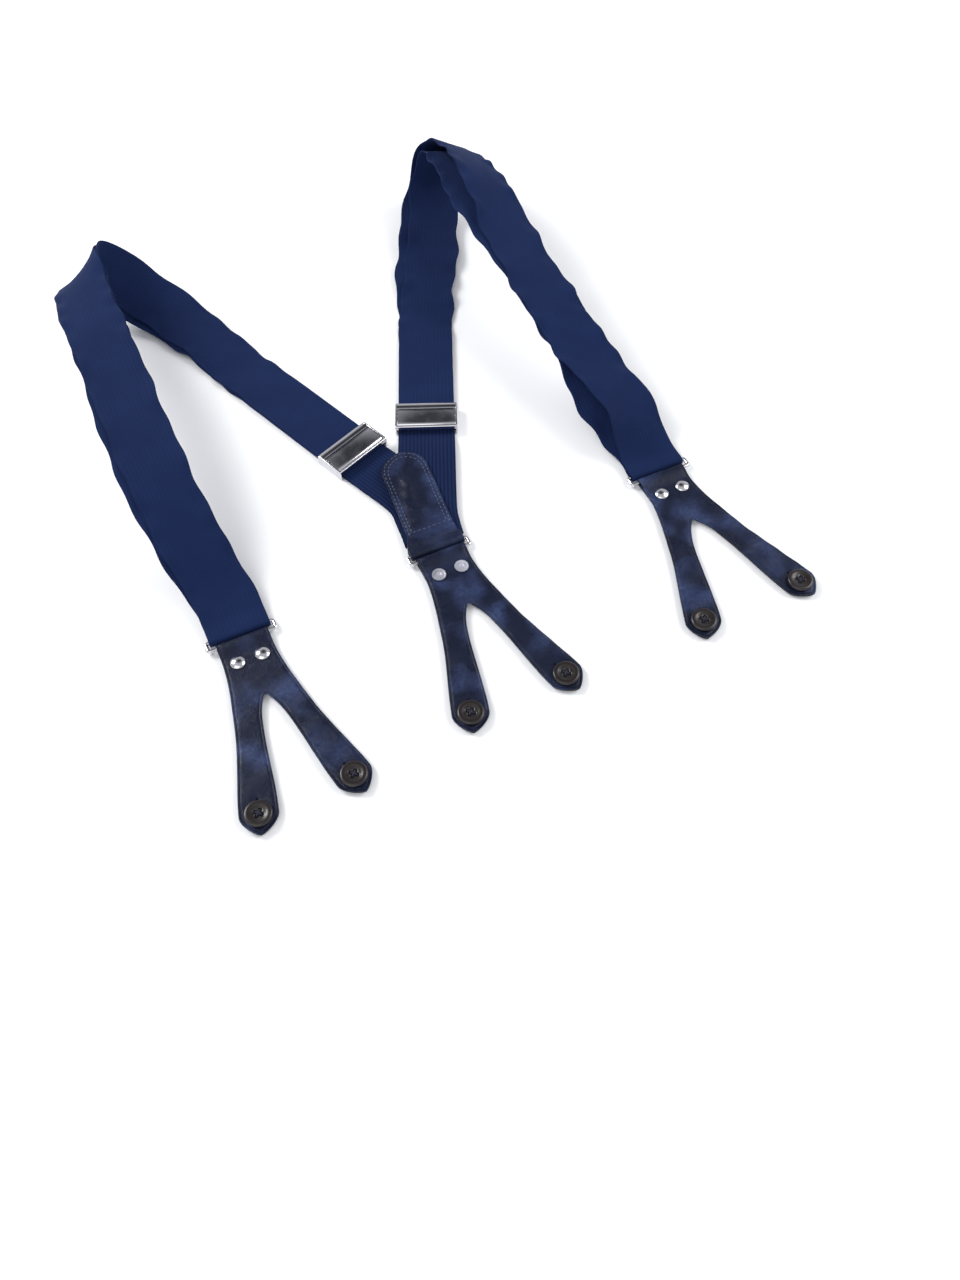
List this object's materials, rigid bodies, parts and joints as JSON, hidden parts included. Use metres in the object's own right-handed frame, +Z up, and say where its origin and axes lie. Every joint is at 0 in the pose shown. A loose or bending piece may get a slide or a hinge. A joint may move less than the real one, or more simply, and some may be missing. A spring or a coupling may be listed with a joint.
{
  "type": "suspenders",
  "caption": "Button-on suspenders with elastic shoulder straps, sliding lever adjusters, a leather back patch and forked leather tabs on wire rings.",
  "frame": {"origin": "middle of the outer box in plan, on the surface that the part lies on", "axes": "+Y from the waist end to the shoulders, +X across the wearer, +Z up from the surface"},
  "size_m": [0.3914, 0.4786, 0.0642],
  "materials": {
    "webbing": "matte ribbed",
    "leather": "glossy, fine grain",
    "nickel": "polished",
    "button": "glossy",
    "thread": "matte"
  },
  "bodies": {
    "back_piece": {"back_patch_leather": "leather", "left_strap_back": "webbing", "right_strap_back": "webbing", "left_strap_return": "webbing", "right_strap_return": "webbing"},
    "left_adjuster": {"left_adjuster_frame": "nickel", "left_adjuster_hinge_pin": "nickel", "left_adjuster_anchor_bar": "nickel"},
    "left_lever": {"left_adjuster_lever": "nickel"},
    "left_front_strap": {"left_strap_front": "webbing"},
    "left_ring": {"left_front_ring": "nickel"},
    "right_adjuster": {"right_adjuster_frame": "nickel", "right_adjuster_hinge_pin": "nickel", "right_adjuster_anchor_bar": "nickel"},
    "right_lever": {"right_adjuster_lever": "nickel"},
    "right_front_strap": {"right_strap_front": "webbing"},
    "right_ring": {"right_front_ring": "nickel"},
    "back_ring_loop": {"back_ring": "nickel"},
    "left_tab": {"left_tab_leather": "leather", "left_rivet_1_cap": "nickel", "left_rivet_1_washer": "nickel", "left_leg_lining_1": "leather", "left_rivet_2_cap": "nickel", "left_rivet_2_washer": "nickel", "left_leg_lining_2": "leather"},
    "left_button_1": {"left_button_1": "button", "left_button_1_thread": "thread"},
    "left_button_2": {"left_button_2": "button", "left_button_2_thread": "thread"},
    "right_tab": {"right_tab_leather": "leather", "right_rivet_1_cap": "nickel", "right_rivet_1_washer": "nickel", "right_leg_lining_1": "leather", "right_rivet_2_cap": "nickel", "right_rivet_2_washer": "nickel", "right_leg_lining_2": "leather"},
    "right_button_1": {"right_button_1": "button", "right_button_1_thread": "thread"},
    "right_button_2": {"right_button_2": "button", "right_button_2_thread": "thread"},
    "back_tab": {"back_tab_leather": "leather", "back_rivet_1_cap": "nickel", "back_rivet_1_washer": "nickel", "back_leg_lining_1": "leather", "back_rivet_2_cap": "nickel", "back_rivet_2_washer": "nickel", "back_leg_lining_2": "leather"},
    "back_button_1": {"back_button_1": "button", "back_button_1_thread": "thread"},
    "back_button_2": {"back_button_2": "button", "back_button_2_thread": "thread"}
  },
  "joints": [
    {"name": "left_adjuster_slide", "type": "slide", "parent": "back_piece", "child": "left_adjuster", "axis": [-0.3746, 0.9272, 0], "range_m": [0, 0.05], "deforming": ["left_strap_return"]},
    {"name": "left_lever_hinge", "type": "hinge", "parent": "left_adjuster", "child": "left_lever", "pos_m": [-0.03327, -0.00255, 0.0058], "axis": [0.9272, 0.3746, 0], "range_deg": [0, 75]},
    {"name": "left_shoulder_fold", "type": "hinge", "parent": "back_piece", "child": "left_front_strap", "pos_m": [-0.15792, 0.21596, 0.04464], "axis": [-0.622, -0.2003, -0.757], "range_deg": [0, 60]},
    {"name": "left_ring_hinge", "type": "hinge", "parent": "left_front_strap", "child": "left_ring", "pos_m": [-0.1553, -0.10476, 0.00295], "axis": [1, 0, 0], "range_deg": [-30, 30]},
    {"name": "right_adjuster_slide", "type": "slide", "parent": "back_piece", "child": "right_adjuster", "axis": [0.3907, 0.9205, 0], "range_m": [0, 0.05], "deforming": ["right_strap_return"]},
    {"name": "right_lever_hinge", "type": "hinge", "parent": "right_adjuster", "child": "right_lever", "pos_m": [0.01984, 0.00371, 0.0058], "axis": [0.9205, -0.3907, 0], "range_deg": [0, 75]},
    {"name": "right_shoulder_fold", "type": "hinge", "parent": "back_piece", "child": "right_front_strap", "pos_m": [0.13752, 0.23592, 0.04503], "axis": [-0.9047, -0.0659, 0.4208], "range_deg": [0, 60]},
    {"name": "right_ring_hinge", "type": "hinge", "parent": "right_front_strap", "child": "right_ring", "pos_m": [0.1482, -0.09877, 0.00295], "axis": [1, 0, 0], "range_deg": [-30, 30]},
    {"name": "back_ring_hinge", "type": "hinge", "parent": "back_piece", "child": "back_ring_loop", "pos_m": [-0.0163, -0.09677, 0.00295], "axis": [1, 0, 0], "range_deg": [-30, 30]},
    {"name": "left_tab_hinge", "type": "hinge", "parent": "left_ring", "child": "left_tab", "pos_m": [-0.1553, -0.11116, 0.00295], "axis": [1, 0, 0], "range_deg": [-40, 40]},
    {"name": "left_button_1_turn", "type": "hinge", "parent": "left_tab", "child": "left_button_1", "pos_m": [-0.1843, -0.22717, 0], "axis": [0, 0, 1], "range_deg": [-45, 45]},
    {"name": "left_button_2_turn", "type": "hinge", "parent": "left_tab", "child": "left_button_2", "pos_m": [-0.1263, -0.22717, 0], "axis": [0, 0, 1], "range_deg": [-45, 45]},
    {"name": "right_tab_hinge", "type": "hinge", "parent": "right_ring", "child": "right_tab", "pos_m": [0.1482, -0.10516, 0.00295], "axis": [1, 0, 0], "range_deg": [-40, 40]},
    {"name": "right_button_1_turn", "type": "hinge", "parent": "right_tab", "child": "right_button_1", "pos_m": [0.1122, -0.22117, 0], "axis": [0, 0, 1], "range_deg": [-45, 45]},
    {"name": "right_button_2_turn", "type": "hinge", "parent": "right_tab", "child": "right_button_2", "pos_m": [0.1842, -0.22117, 0], "axis": [0, 0, 1], "range_deg": [-45, 45]},
    {"name": "back_tab_hinge", "type": "hinge", "parent": "back_ring_loop", "child": "back_tab", "pos_m": [-0.0163, -0.10317, 0.00295], "axis": [1, 0, 0], "range_deg": [-40, 40]},
    {"name": "back_button_1_turn", "type": "hinge", "parent": "back_tab", "child": "back_button_1", "pos_m": [-0.0483, -0.21916, 0], "axis": [0, 0, 1], "range_deg": [-45, 45]},
    {"name": "back_button_2_turn", "type": "hinge", "parent": "back_tab", "child": "back_button_2", "pos_m": [0.0157, -0.21916, 0], "axis": [0, 0, 1], "range_deg": [-45, 45]}
  ]
}
